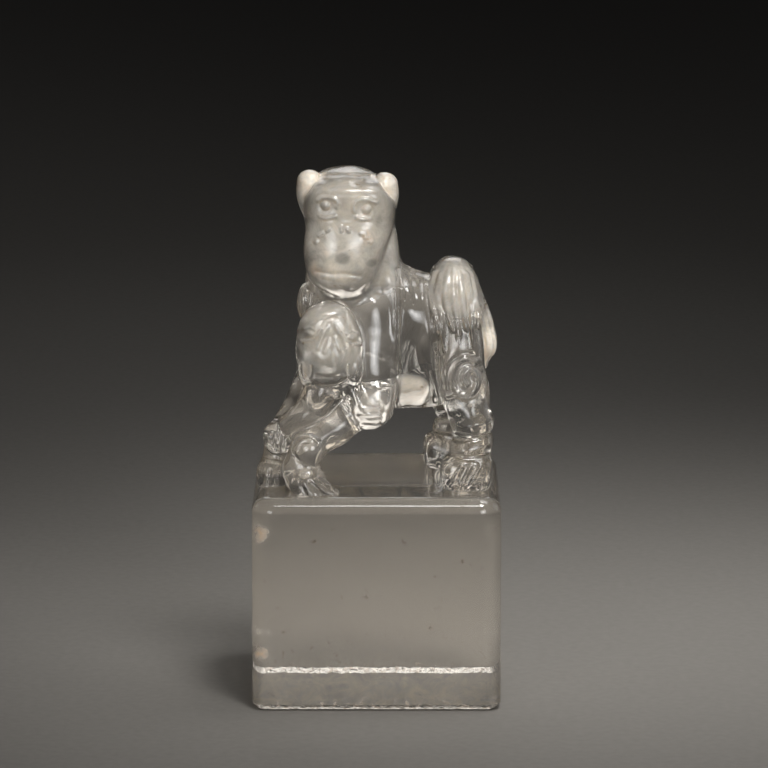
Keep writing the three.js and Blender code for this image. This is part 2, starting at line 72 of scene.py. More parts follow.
class Carving:
    """A lattice of points. Each holds how far it lies outside the carved surface, below zero inside."""

    def __init__(self, low, high, grain):
        self.low, self.grain = low, grain
        self.axes = [np.arange(a, b, grain, dtype=np.float32) for a, b in zip(low, high)]
        self.depth = np.full([len(a) for a in self.axes], OUTSIDE, np.float32)

    def window(self, low, high):
        """The lattice between two corners, with its x, y and z as arrays that broadcast together."""
        cut = tuple(slice(*np.searchsorted(a, ends)) for a, ends in zip(self.axes, zip(low, high)))
        x, y, z = (a[c] for a, c in zip(self.axes, cut))
        return cut, x[:, None, None], y[None, :, None], z[None, None, :]

    def add(self, form, blend):
        """Joins a form on with a fillet of about the blend's radius: the smaller of the two depths, less a
        rounding that is largest where they are equal."""
        low, high, gap = form
        cut, x, y, z = self.window(low - blend - 1, high + blend + 1)
        here, new = self.depth[cut], gap(x, y, z)
        share = np.clip(0.5 + 0.5 * (here - new) / blend, 0, 1)
        self.depth[cut] = here + (new - here) * share - blend * share * (1 - share)

    def press(self, low, high, height):
        """Raises the surface between two corners by a height worked out from x, y and z, or lowers it where
        that is below zero."""
        cut, x, y, z = self.window(np.array(low), np.array(high))
        self.depth[cut] -= height(x, y, z)

    def polish(self):
        """Evens the depths with their neighbours along each axis, one part in four from either side."""
        for axis in range(3):
            d = np.moveaxis(self.depth, axis, 0)
            d[1:-1] = 0.5 * d[1:-1] + 0.25 * (d[:-2] + d[2:])

    def close(self):
        """Puts the lattice's outermost points outside the surface, so that a form that runs off it is
        closed."""
        for axis in range(3):
            d = np.moveaxis(self.depth, axis, 0)
            d[:2] = np.maximum(d[:2], 0.4)
            d[-2:] = np.maximum(d[-2:], 0.4)

    def sample(self, points):
        """Depth and slope at any points, by linear interpolation between the eight lattice points around
        each."""
        at = (points - self.low) / self.grain
        cell = np.clip(np.floor(at).astype(int), 0, np.array(self.depth.shape) - 2)
        u = at - cell
        ends = (0, 1)
        corners = [self.depth[tuple((cell + (i, j, k)).T)] for i in ends for j in ends for k in ends]
        c = np.array(corners, float).reshape(2, 2, 2, -1)
        wx, wy, wz = np.moveaxis(np.array([1 - u, u]), 2, 0)
        step = np.repeat([[-1.0], [1.0]], len(u), 1) / self.grain

        def weighed(i, j, k):
            return np.einsum("ijkn,in,jn,kn->n", c, i, j, k)

        slope = np.stack([weighed(step, wy, wz), weighed(wx, step, wz), weighed(wx, wy, step)], 1)
        return weighed(wx, wy, wz), slope

    def surface(self):
        """The zero level as points and four-sided faces. Each lattice cell that the level passes through
        gets one point, the mean of the level's crossings of the cell's edges, and each crossed edge gets
        a face over its four cells. The points then slide down the slope onto the level."""
        shape = self.depth.shape
        strides = np.array([shape[1] * shape[2], shape[2], 1])
        cells, crossings, quads = [], [], []
        for axis, one, two in ((0, 1, 2), (1, 0, 2), (2, 0, 1)):
            edges = np.argwhere(np.diff(self.depth < 0, axis=axis))
            edges = edges[(edges[:, one] > 0) & (edges[:, two] > 0)]
            ahead = edges.copy()
            ahead[:, axis] += 1
            start, end = (self.depth[tuple(e.T)].astype(float) for e in (edges, ahead))
            point = edges.astype(float)
            point[:, axis] += start / (start - end)
            cell, back, down = edges @ strides, strides[one], strides[two]
            around = np.stack([cell, cell - back, cell - back - down, cell - down], 1)
            cells.append(around.ravel())
            crossings.append(np.repeat(point, 4, 0))
            forward = (start < 0) == (axis != 1)
            quads.append(np.where(forward[:, None], around, around[:, ::-1]))
        cells, crossings, quads = (np.concatenate(group) for group in (cells, crossings, quads))
        used, place = np.unique(cells, return_inverse=True)
        count = np.bincount(place)
        points = np.stack([np.bincount(place, crossings[:, k]) / count for k in range(3)], 1)
        points = self.low + points * self.grain
        for _ in range(SLIDES):
            value, slope = self.sample(points)
            step = value / np.maximum((slope**2).sum(1), 0.05)
            points -= slope * np.clip(step, -LONGEST_SLIDE, LONGEST_SLIDE)[:, None]
        return points, np.searchsorted(used, quads)


def ramp(value, width):
    """Nought up to zero, one from the width on, and an even rise between."""
    return np.clip(value / width, 0, 1)


def smooth_line(stations, steps=10):
    """Points on a smooth curve through the stations: each span is the cubic whose slope at a station runs
    parallel to the line between its neighbours."""
    s = np.array(stations, float)
    p = np.concatenate([[2 * s[0] - s[1]], s, [2 * s[-1] - s[-2]]])
    a, b, c, d = (q[:, None, :] for q in (p[:-3], p[1:-2], p[2:-1], p[3:]))
    t = (np.arange(steps) / steps)[None, :, None]
    line = 0.5 * (2 * b + (c - a) * t + (2 * a - 5 * b + 4 * c - d) * t**2 + (3 * b - a - 3 * c + d) * t**3)
    return np.concatenate([line.reshape(-1, s.shape[1]), s[-1:]])


def limb(stations):
    """A limb: the distance to a smooth curve less the limb's radius there. A station is x, y, z, the half
    size across the body (Y) and the half size in the plane of the bend. Distances along Y are stretched
    by the ratio of the two."""
    s = smooth_line(stations)
    reach = s[:, 3:].max(1)[:, None]

    def gap(x, y, z):
        best = None
        for a, b in zip(s[:-1], s[1:]):
            ratio = (a[4] + b[4]) / (a[3] + b[3])
            run = (b - a)[:3] * (1, ratio, 1)
            px, py, pz = x - a[0], (y - a[1]) * ratio, z - a[2]
            t = np.clip((px * run[0] + py * run[1] + pz * run[2]) / (run @ run + TINY), 0, 1)
            far = np.sqrt((px - t * run[0]) ** 2 + (py - t * run[1]) ** 2 + (pz - t * run[2]) ** 2)
            far = far - (a[4] + t * (b[4] - a[4]))
            best = far if best is None else np.minimum(best, far)
        return best.astype(np.float32)

    return (s[:, :3] - reach).min(0), (s[:, :3] + reach).max(0), gap


def along_ray(px, py, pz, size, power):
    """How far points lie outside a rounded form, along the ray from its middle: the ray's length, less its
    length at the form's level, where size is 1."""
    size = np.maximum(size, TINY) ** (1 / power)
    ray = np.sqrt(px**2 + py**2 + pz**2) + TINY
    return (ray * (1 - 1 / np.maximum(size, 0.2))).astype(np.float32)


def pillow(middle, half, power=2.0):
    """A pillow: the level |x/a|^n + |y/b|^n + |z/c|^n = 1, read as the distance along the ray from its
    middle."""
    middle, half = np.array(middle, float), np.array(half, float)

    def gap(x, y, z):
        px, py, pz = x - middle[0], y - middle[1], z - middle[2]
        size = np.abs(px / half[0]) ** power + np.abs(py / half[1]) ** power + np.abs(pz / half[2]) ** power
        return along_ray(px, py, pz, size, power)

    return middle - half, middle + half, gap


def tapered(levels, deep, middle_y, power, end_power):
    """An upright boxy mass: levels are height, middle x and half width, joined smoothly, and the half
    depth is the same all the way up. Its ends round off as a pillow's do, the more sharply the higher the
    end power."""
    lv = np.array(levels, float)
    base, top = lv[0, 0], lv[-1, 0]
    mid_z, half_z = (base + top) / 2, (top - base) / 2
    line = smooth_line(lv, 12)

    def gap(x, y, z):
        mx = np.interp(z.ravel(), line[:, 0], line[:, 1]).reshape(z.shape)
        hx = np.interp(z.ravel(), line[:, 0], line[:, 2]).reshape(z.shape)
        px, py, pz = x - mx, y - middle_y, z - mid_z
        size = np.abs(px / hx) ** power + np.abs(py / deep) ** power + np.abs(pz / half_z) ** end_power
        return along_ray(px, py, pz, size, power)

    low = np.array([(lv[:, 1] - lv[:, 2]).min(), middle_y - deep, base])
    high = np.array([(lv[:, 1] + lv[:, 2]).max(), middle_y + deep, top])
    return low, high, gap


def off_line(x, z, line):
    """Distance of points of the x, z plane from a broken line."""
    best = None
    for a, b in zip(line[:-1], line[1:]):
        run = b - a
        t = np.clip(((x - a[0]) * run[0] + (z - a[1]) * run[1]) / (run @ run + TINY), 0, 1)
        far = np.hypot(x - a[0] - t * run[0], z - a[1] - t * run[1])
        best = far if best is None else np.minimum(best, far)
    return best


def stroke(crystal, stations, width, height, reach, ridged=False):
    """A carved line seen from the front or back: the surface rises by height, or sinks below zero, and
    fades with the square of the distance from the line, over its width. A ridged line falls off evenly
    instead, so each flank is one slope that catches the light. It touches only what lies between the two
    Y of reach."""
    line = smooth_line(stations, 6) if len(stations) > 2 else np.array(stations, float)

    def rise(x, y, z):
        far = off_line(x, z, line) / width
        return height * (np.maximum(1 - far, 0) if ridged else np.exp(-(far**2)))

    low, high = line.min(0) - FADE * width, line.max(0) + FADE * width
    crystal.press((low[0], reach[0], low[1]), (high[0], reach[1], high[1]), rise)


def knob(crystal, x0, z0, wide, high, height, reach):
    """A round swelling seen from the front, or a dimple where height is below zero: it fades with the
    square of the distance from its middle, as a share of its half sizes."""

    def rise(x, y, z):
        return height * np.exp(-(((x - x0) / wide) ** 2) - ((z - z0) / high) ** 2)

    low = (x0 - FADE * wide, reach[0], z0 - FADE * high)
    crystal.press(low, (x0 + FADE * wide, reach[1], z0 + FADE * high), rise)


def ring(crystal, x0, z0, radius, width, height, reach):
    """A carved circle about a middle, seen from the front. It fades as a stroke does."""

    def rise(x, y, z):
        return height * np.exp(-(((np.hypot(x - x0, z - z0) - radius) / width) ** 2))

    edge = radius + FADE * width
    crystal.press((x0 - edge, reach[0], z0 - edge), (x0 + edge, reach[1], z0 + edge), rise)


def arc_line(x0, z0, wide, high, start, end):
    """Seven points on an arc about a middle, between two angles in half turns."""
    turn = np.linspace(start, end, 7) * math.pi
    return [(x0 + wide * math.cos(t), z0 + high * math.sin(t)) for t in turn]


# How far the far hind leg stands before the near one
FAR_HIND_SHIFT = -2.6


def lion_masses(crystal):
    """Chest, barrel, neck, shoulders, legs and paws of the lion, each joined on with a soft fillet."""
    chest = [
        (-3.5, 0.0, 17.2, 7.2, 6.6),
        (-4.3, 0.0, 21.0, 8.3, 7.8),
        (-4.3, -0.6, 26.5, 8.1, 7.8),
        (-4.2, -0.9, 32.0, 7.3, 7.4),
        (-3.9, -0.6, 38.0, 6.6, 6.9),
        (-4.0, -0.4, 43.5, 5.6, 6.7),
    ]
    crystal.add(limb(chest), 1.0)
    crystal.add(pillow((-11.5, -3.2, 29.2), (1.3, 2.4, 3.2), 2.2), 0.5)
    crystal.add(pillow((5.0, 0, 22.4), (11.8, 8.8, 11.0), 2.6), 1.2)
    nape = [(-0.4, -0.5, 39.0, 5.6, 3.3), (1.6, -0.2, 33.2, 6.6, 3.4), (4.4, 0, 29.4, 7.6, 4.6)]
    crystal.add(limb(nape), 1.4)
    for way in (-1, 1):
        crystal.add(pillow((-1.9, way * 5.4, 21.2), (5.4, 4.3, 10.6), 2.6), 0.5)
    near_foreleg = [
        (-1.4, -6.8, 22.0, 3.4, 4.6),
        (-0.9, -7.9, 16.5, 3.8, 4.4),
        (-1.3, -8.8, 14.0, 4.0, 4.1),
        (-4.0, -9.8, 12.3, 3.6, 3.3),
        (-7.6, -11.0, 9.5, 3.2, 3.0),
        (-10.9, -12.0, 7.0, 3.0, 2.8),
        (-12.0, -12.0, 4.2, 3.1, 2.8),
    ]
    crystal.add(limb(near_foreleg), 1.0)
    crystal.add(pillow((-0.9, -8.7, 14.0), (3.7, 4.3, 4.3), 2.3), 1.0)
    crystal.add(pillow((-11.1, -12.7, 7.1), (2.5, 2.7, 2.4)), 0.9)
    near_foot = [(-12.3, -11.8, 3.4, 3.1, 2.9), (-11.2, -12.8, 1.5, 3.5, 3.0), (-9.8, -13.6, 0.1, 3.2, 2.6)]
    crystal.add(limb(near_foot), 0.5)
    crystal.add(limb([(-9.4, -13.4, 1.0, 2.8, 1.7), (-6.7, -13.9, 0.0, 1.8, 0.7)]), 0.4)
    far_foreleg = [
        (-4.3, 6.2, 23.0, 3.4, 4.4),
        (-8.2, 5.0, 17.3, 3.6, 4.0),
        (-12.6, 0.4, 11.0, 3.4, 2.9),
        (-15.4, -3.6, 7.6, 3.1, 2.4),
        (-16.4, -4.8, 3.6, 3.3, 2.3),
    ]
    crystal.add(limb(far_foreleg), 0.8)
    crystal.add(pillow((-17.1, -5.4, 1.2), (2.4, 4.3, 2.9), 2.4), 0.6)
    for way, shift in ((-1, 0.0), (1, FAR_HIND_SHIFT)):
        hind_leg = [
            (12.8 + shift, way * 6.0, 25.5, 3.2, 4.2),
            (13.4 + shift, way * 6.9, 19.5, 3.7, 4.1),
            (14.7 + shift, way * 7.4, 13.0, 3.5, 3.8),
            (15.5 + shift, way * 8.4, 9.2, 3.2, 3.2),
            (15.0 + shift, way * 8.8, 4.4, 3.4, 3.4),
        ]
        crystal.add(limb(hind_leg), 0.8)
        crystal.add(pillow((14.5 + shift, way * 9.1, 2.3), (4.3, 4.3, 3.2), 3.2), 0.5)


def lion_head(crystal):
    """Skull with bevelled upper corners, low crown, broad soft muzzle, and drop-shaped ears in the
    bevels."""
    levels = [
        (32.2, -5.8, 4.9),
        (34.6, -5.8, 5.4),
        (37.0, -5.35, 6.1),
        (40.0, -4.75, 6.8),
        (42.3, -4.4, 7.2),
        (46.0, -4.35, 7.4),
        (49.9, -4.6, 7.2),
    ]
    low, high, skull = tapered(levels, 8.2, -3.0, 3.6, 9.0)

    def bevelled(x, y, z):
        """The skull, cut at each upper corner by a slanting plane."""
        left = (-(x + 9.2) * 0.82 + (z - 50.3) * 0.57).astype(np.float32)
        right = ((x + 0.2) * 0.78 + (z - 50.1) * 0.62).astype(np.float32)
        return np.maximum(skull(x, y, z), np.maximum(left, right))

    crystal.add((low, high, bevelled), 0.7)
    crystal.add(pillow((-4.8, -2.8, 48.2), (5.7, 7.6, 3.1), 2.0), 0.5)
    crystal.add(pillow((-5.4, -8.5, 37.4), (5.5, 3.9, 6.2), 2.2), 2.4)
    for x, way, drop in ((-10.75, -1, 0.0), (1.4, 1, 0.4)):
        ear = [
            (x, -4.9, 49.0 - drop, 2.9, 2.05),
            (x + way * 0.45, -4.7, 47.3 - drop, 2.6, 1.75),
            (x + way * 0.75, -4.2, 45.2 - drop, 2.2, 0.95),
            (x + way * 0.6, -3.8, 43.4 - drop, 1.4, 0.35),
        ]
        crystal.add(limb(ear), 0.3)


def lion_face(crystal):
    """Eyes with ringed pupils, upper and lower lids, whisker marks, mouth, and the lines across the nose
    and the forehead, pressed into the front of the head."""
    near = (FRONT, -4.5)
    for x, z in ((-8.15, 46.06), (-1.61, 45.48)):
        knob(crystal, x, z, 2.2, 1.7, -0.16, near)
        stroke(crystal, [(x, z), (x + 0.01, z)], 0.8, 0.6, near, ridged=True)
        ring(crystal, x, z, 0.9, 0.24, -0.14, near)
    upper_lids = (
        [(-9.3, 46.9), (-8.5, 47.4), (-6.7, 47.2), (-6.15, 46.5), (-6.3, 45.9)],
        [(-3.5, 45.2), (-3.55, 46.1), (-2.9, 46.95), (-1.6, 47.15), (0.0, 46.6)],
    )
    for lid in upper_lids:
        stroke(crystal, lid, 0.5, 0.4, near, ridged=True)
    lower_lids = (
        [(-9.0, 44.3), (-8.1, 44.1), (-6.6, 44.4)],
        [(-3.2, 44.3), (-2.3, 43.95), (-1.2, 44.0)],
    )
    stroke(crystal, [(-11.4, 43.3), (-5.0, 43.6), (2.6, 43.3)], 0.6, -0.08, near)
    whisker_marks = (
        ((-9.7, 40.25), (-9.55, 40.45)),
        ((-9.2, 41.35), (-8.5, 41.75)),
        ((-7.9, 42.15), (-7.6, 42.45)),
        ((-5.6, 42.7), (-5.6, 42.1)),
        ((-4.65, 42.45), (-4.4, 42.1)),
        ((-2.5, 41.7), (-1.8, 41.65)),
        ((-1.75, 41.1), (-1.2, 41.1)),
        ((-1.0, 40.45), (-0.85, 40.25)),
    )
    for mark in lower_lids + whisker_marks:
        stroke(crystal, mark, 0.45, 0.36, near, ridged=True)
    stroke(crystal, [(-9.7, 35.6), (-7.4, 35.3), (-5.0, 35.3), (-2.6, 34.9)], 0.34, -0.22, near)
    stroke(crystal, [(-8.9, 34.3), (-5.6, 33.9), (-3.2, 34.0)], 0.3, -0.12, near)
    stroke(crystal, [(-9.2, 50.1), (-5.0, 50.5), (-0.9, 50.1)], 0.22, -0.24, near)


def mane(crystal):
    """Mane on the back of the head and neck: upright strands about the head's own axis, each a rounded
    ridge between sharp grooves, the root of a sine. They sway a little, end at uneven heights, and fade
    towards the ears and the crown."""
    strand_angle = 14

    def height(x, y, z):
        turn = np.degrees(np.arctan2(x + 4.5, y + 2.0)) + 5 * np.sin(0.35 * (z - 33))
        ridge = np.sqrt(np.abs(np.sin(math.pi * turn / strand_angle))) - STRAND_SUNK
        foot = 28.5 + 1.3 * np.sin(2.1 * np.floor(turn / strand_angle))
        return STRAND_RISE * ridge * ramp(72 - np.abs(turn), 16) * ramp(48.8 - z, 2.5) * ramp(z - foot, 2.5)

    crystal.press([-14.0, -1.0, 26.0], [5.0, 9.0, 50.0], height)


# Middle x of the cub's two hanging ears
CUB_EARS = (-11.25, -3.6)


def cub(crystal):
    """Cub at the lion's chest: long head with hanging ears, body slanting down to the lion's far paw, and
    the forepaw laid on the lion's elbow, with four toes."""
    body = [
        (-7.4, -9.4, 20.0, 3.8, 3.8),
        (-7.9, -10.0, 17.6, 3.8, 3.7),
        (-8.9, -10.4, 15.4, 3.5, 3.2),
        (-11.0, -10.4, 12.2, 3.2, 2.75),
        (-13.9, -9.0, 9.8, 3.0, 2.2),
    ]
    crystal.add(limb(body), 0.5)
    crystal.add(pillow((-15.7, -8.0, 8.0), (2.5, 3.2, 2.7), 2.2), 0.5)
    head_levels = [
        (16.9, -7.5, 4.3),
        (19.5, -7.6, 5.1),
        (22.8, -7.55, 5.4),
        (25.5, -7.6, 5.2),
        (28.0, -7.7, 4.6),
        (30.8, -7.5, 3.4),
    ]
    crystal.add(tapered(head_levels, 4.5, -11.5, 2.4, 5.0), 0.4)
    crystal.add(pillow((-7.5, -13.6, 21.9), (2.7, 2.6, 3.1), 3.0), 1.2)
    for x in CUB_EARS:
        crystal.add(pillow((x, -12.7, 20.2), (1.55, 2.3, 2.8), 2.2), 0.25)
    arm = [(-4.4, -11.8, 17.4, 1.4, 1.3), (-3.4, -12.3, 15.6, 1.4, 1.3), (-2.2, -12.4, 13.4, 1.5, 1.4)]
    crystal.add(limb(arm), 0.8)
    for z in (13.75, 12.75, 11.8, 10.9):
        y = -13.25 + 0.45 * max(0, 12.8 - z)
        toe = [
            (-4.0, y + 1.1, z + 0.3, 0.3, 0.25),
            (-2.6, y + 0.2, z + 0.1, 0.48, 0.4),
            (-1.2, y - 0.2, z, 0.55, 0.46),
            (0.4, y + 0.2, z - 0.1, 0.4, 0.32),
        ]
        crystal.add(limb(toe), 0.3)


def cub_face(crystal):
    """The cub's eyes with their lids and brows, forelocks, ear lines and mouth."""
    near = (FRONT, -9.0)
    for x, z, way in ((-10.6, 26.2, -1), (-3.9, 25.5, 1)):
        knob(crystal, x, z, 0.66, 0.5, 0.36, near)
        lid = [(1.5, -1.4), (0.3, -1.1), (-0.9, -0.5), (-1.8, 0.8)]
        brow = [(0.9, 0.6), (0.0, 1.0), (-0.8, 0.6)]
        stroke(crystal, [(x + way * across, z + up) for across, up in lid], 0.2, 0.15, near)
        stroke(crystal, [(x + way * across, z + up) for across, up in brow], 0.18, 0.14, near)
    locks = (
        [(-7.8, 27.3), (-8.6, 25.8), (-9.3, 23.9)],
        [(-7.6, 25.3), (-7.9, 24.4), (-8.3, 23.4)],
        [(-6.5, 27.3), (-5.6, 25.8), (-4.9, 24.2)],
        [(-6.6, 25.6), (-6.2, 24.6), (-5.7, 23.6)],
    )
    for lock in locks:
        stroke(crystal, lock, 0.85, -0.1, near)
        stroke(crystal, lock, 0.34, 0.18, near)
    for x in CUB_EARS:
        stroke(crystal, arc_line(x, 20.4, -0.9, -1.9, -0.1, 1.1), 0.2, -0.16, near)
    stroke(crystal, [(-9.6, 19.5), (-7.5, 19.2), (-5.4, 19.5)], 0.24, -0.16, near)


def tail(crystal):
    """Bushy tail: a tall dome over the rump, its strands as meridians that meet at the top, their tips
    fanned down both flanks, and its last lock hanging behind."""
    middle_x, middle_z, half_x, half_y, half_z, power = 12.4, 28.6, 4.5, 8.2, 7.5, 2.2
    crystal.add(pillow((middle_x, 0, middle_z), (half_x, half_y, half_z), power), 0.6)

    def across(z):
        """Half width of the dome at a height."""
        return half_x * (1 - np.clip((z - middle_z) / half_z, 0, 0.98) ** power) ** (1 / power)

    def lean(z):
        """How far the strands lean back at a height."""
        return 0.12 * np.maximum(31 - z, 0)

    def strands(x, y, z):
        """Seven rounded strands across the dome's width at each height, with sharp grooves between, the
        root of a sine. They fade out at the top and below the dome's middle."""
        share = (x - middle_x - lean(z)) / across(z)
        ridge = np.sqrt(np.abs(np.sin(3.5 * math.pi * (share + 1 / 7)))) - STRAND_SUNK
        return STRAND_RISE * ridge * ramp(36.3 - z, 2.0) * ramp(z - 28.5, 3.0) * (np.abs(share) < 1.15)

    crystal.press([7.0, -11.0, 26.0], [18.0, 11.0, 37.4], strands)
    tips = [
        # share of the dome's half width, and the tip's x and z
        (-0.84, 10.0, 24.6),
        (-0.57, 10.9, 22.2),
        (-0.286, 12.3, 25.4),
        (0.0, 13.3, 22.6),
        (0.286, 14.6, 25.6),
        (0.57, 15.5, 22.9),
        (0.78, 16.5, 25.2),
    ]
    # Height, least distance from the middle plane and depth below the dome, down each strand
    course = ((33.8, 0.0, 0.75), (31.6, 5.4, 0.5), (29.4, 7.3, 0.2))
    for way in (-1, 1):
        for share, tip_x, tip_z in tips:
            strand = []
            for z, flank, sunk in course:
                up = ((z - middle_z) / half_z) ** power + abs(share * across(z) / half_x) ** power
                y = max(half_y * (1 - up) ** (1 / power), flank) - sunk
                strand.append((middle_x + share * across(z) + lean(z), way * y, z, 0.72, 0.6))
            tip = tip_x if way < 0 else tip_x - 2.2 - 1.2 * max(share, 0)
            strand.append((0.5 * strand[-1][0] + 0.5 * tip, way * 8.8, 27.0, 0.75, 0.52))
            strand.append((tip, way * 9.7, tip_z, 0.3, 0.14))
            crystal.add(limb(strand), 0.2)
    last_lock = [
        (13.8, 0, 31.5, 5.4, 2.9),
        (15.5, 0, 28.0, 4.8, 2.45),
        (16.9, 0, 24.6, 4.2, 2.2),
        (17.4, 0, 21.8, 3.8, 2.15),
        (16.9, 0, 18.8, 2.8, 1.5),
    ]
    crystal.add(limb(last_lock), 0.4)
    for way in (-1, 1):
        crystal.add(pillow((18.2, way * 1.8, 22.4), (1.35, 2.3, 2.8)), 0.3)


def scroll(crystal, x0, z0, reach):
    """A carved scroll: a raised line that winds in from the upper right, over one turn and a half, on a
    dished disc."""
    wide, high, turns, line_width = 2.7, 3.7, 1.5, 0.46
    t = np.linspace(0, 1, 40)
    turn = math.radians(50) + t * 2 * math.pi * turns
    shrink = 1 - 0.78 * t
    across, up = 0.3 * wide * t + wide * shrink * np.cos(turn), high * shrink * np.sin(turn)
    line = np.stack([x0 + across, z0 + up], 1)

    def height(x, y, z):
        disc = ((x - x0) / (wide * 1.15)) ** 2 + ((z - z0) / (high * 1.15)) ** 2
        return 0.6 * np.exp(-((off_line(x, z, line) / line_width) ** 2)) - 0.38 * np.exp(-(disc**4))

    edge = 1.6 * max(wide, high)
    crystal.press((x0 - edge, reach[0], z0 - edge), (x0 + edge, reach[1], z0 + edge), height)


def carved_lines(crystal):
    """Lines on the tail's last lock, shoulder and hip lines, folds on the back, hip scrolls, wrist swirl,
    hock folds, and toes."""
    for bend in (0.0, 0.7, 1.4):
        lock = [(17.6 - bend, 28.4), (18.6 - bend, 24.8), (19.0 - bend, 21.8), (18.0 - bend, 18.8)]
        stroke(crystal, lock, 0.24, -0.2, (-4.6, 4.6))
    for flank in ((FRONT, -3.0), (3.0, BACK)):
        shoulder = [(3.4, 34.8), (3.6, 28.3), (3.4, 22.9), (3.65, 17.0), (2.9, 12.5)]
        stroke(crystal, shoulder, 0.26, -0.4, flank)
        stroke(crystal, [(7.9, 31.8), (8.8, 25.0), (9.7, 17.1), (10.8, 11.6)], 0.24, -0.38, flank)
        stroke(crystal, [(8.6, 31.2), (9.4, 25.0), (10.3, 17.1), (11.4, 11.6)], 0.24, -0.2, flank)
        for x in (3.9, 5.2, 6.5):
            stroke(crystal, [(x, 34.6), (x + 0.6, 32.2), (x + 1.1, 29.6)], 0.55, -0.12, flank)
    scroll(crystal, 14.1, 17.7, (FRONT, -6.0))
    scroll(crystal, 14.1 + FAR_HIND_SHIFT, 17.7, (6.0, BACK))
    stroke(crystal, arc_line(-11.1, 7.1, 2.2, 2.2, 0.2, 1.3), 0.26, -0.26, (FRONT, -10.0))
    stroke(crystal, [(-12.4, 7.0), (-11.9, 8.2), (-10.7, 8.5)], 0.22, -0.2, (FRONT, -12.0))
    for shift, reach in ((0.0, (FRONT, -6.5)), (FAR_HIND_SHIFT, (6.5, BACK))):
        for z, width, height in ((10.4, 0.8, 0.3), (8.3, 0.38, -0.45), (6.6, 0.8, 0.25)):
            fold = [(12.6 + shift, z - 0.3), (15.4 + shift, z), (19.0 + shift, z + 0.7)]
            stroke(crystal, fold, width, height, reach)
        knob(crystal, 14.4 + shift, 2.8, 2.4, 1.7, -0.3, reach)
        for x in (13.0, 14.5, 16.0):
            stroke(crystal, [(x + 0.7 + shift, 4.2), (x - 0.7 + shift, 1.5)], 0.3, 0.36, reach)
    toes = (((-9.6, 2.6), (-6.6, 0.4)), ((-10.6, 2.0), (-8.0, -0.4)), ((-12.2, 2.0), (-11.0, -0.4)))
    for toe in toes:
        stroke(crystal, toe, 0.26, -0.3, (FRONT, -12.0))
    for x in (-18.3, -17.2, -16.1):
        stroke(crystal, [(x, 2.6), (x - 0.2, 0.1)], 0.28, -0.3, (FRONT, -5.0))
    for x in (-16.9, -16.0, -15.0):
        stroke(crystal, [(x - 0.3, 6.2), (x + 0.1, 9.0)], 0.26, -0.26, (FRONT, -5.0))


def hand_work(crystal):
    """The slight unevenness of hand grinding: two products of slow waves, 5 to 8 mm long, at half
    strength on the two heads and the top of the tail."""

    def height(x, y, z):
        upright = np.sin(0.9 * x + 0.4 * z + 2.4) * np.sin(0.7 * z - 0.45 * x)
        level = np.sin(0.75 * y + 0.6 * z) * np.sin(1.05 * x - 0.5 * y + 0.7)
        return 0.11 * (upright + level) * np.where((z > 32.5) | ((y < -8.5) & (z > 17)), 0.5, 1.0)

    crystal.press(FIGURE_LOW, FIGURE_HIGH, height)


def carved(low, high, grain):
    """The carved surface between two corners, at a grain."""
    crystal = Carving(np.array(low), np.array(high), grain)
    for work in (lion_masses, lion_head, mane, tail, cub, hand_work):
        work(crystal)
    crystal.polish()
    for work in (lion_face, cub_face, carved_lines):
        work(crystal)
    crystal.close()
    return crystal.surface()


def mesh_of(name, points, faces):
    """A mesh object from arrays of points, in millimetres above the block's top, and faces of equal
    count."""
    mesh = bpy.data.meshes.new(name)
    points = (np.asarray(points) + (0, 0, BLOCK_TOP)) * MM
    faces = np.asarray(faces)
    mesh.vertices.add(len(points))
    mesh.vertices.foreach_set("co", points.astype(np.float32).ravel())
    mesh.loops.add(faces.size)
    mesh.loops.foreach_set("vertex_index", faces.ravel().astype(np.int32))
    mesh.polygons.add(len(faces))
    mesh.polygons.foreach_set("loop_start", (np.arange(len(faces)) * faces.shape[1]).astype(np.int32))
    mesh.polygons.foreach_set("use_smooth", np.ones(len(faces), bool))
    mesh.update(calc_edges=True)
    mesh.validate()
    piece = bpy.data.objects.new(name, mesh)
    bpy.context.scene.collection.objects.link(piece)
    return piece


# The block: half its sides, the radius of its upright corners, how much that grows at the shoulder and
# over what height, the radius of the shoulder, the bevel round the seal face and its bulge, and the dish
# in the top
BLOCK_HALF = (BLOCK_HIGH[:2] - BLOCK_LOW[:2]) / 2
CORNER, CORNER_GROWTH, GROWTH_REACH = 2.3, 1.3, 3.2
SHOULDER, BEVEL, BOW, DISH = 2.5, 0.9, 0.008, 0.45
# Share of the bulge that points out, and that points down
SLANT = math.sqrt(0.5)


def corner_at(z):
    """Radius of the block's upright corners at a height: it grows towards the shoulder as a bell curve
    does."""
    return CORNER + CORNER_GROWTH * np.exp(-((np.minimum(z + SHOULDER, 0) / GROWTH_REACH) ** 2))


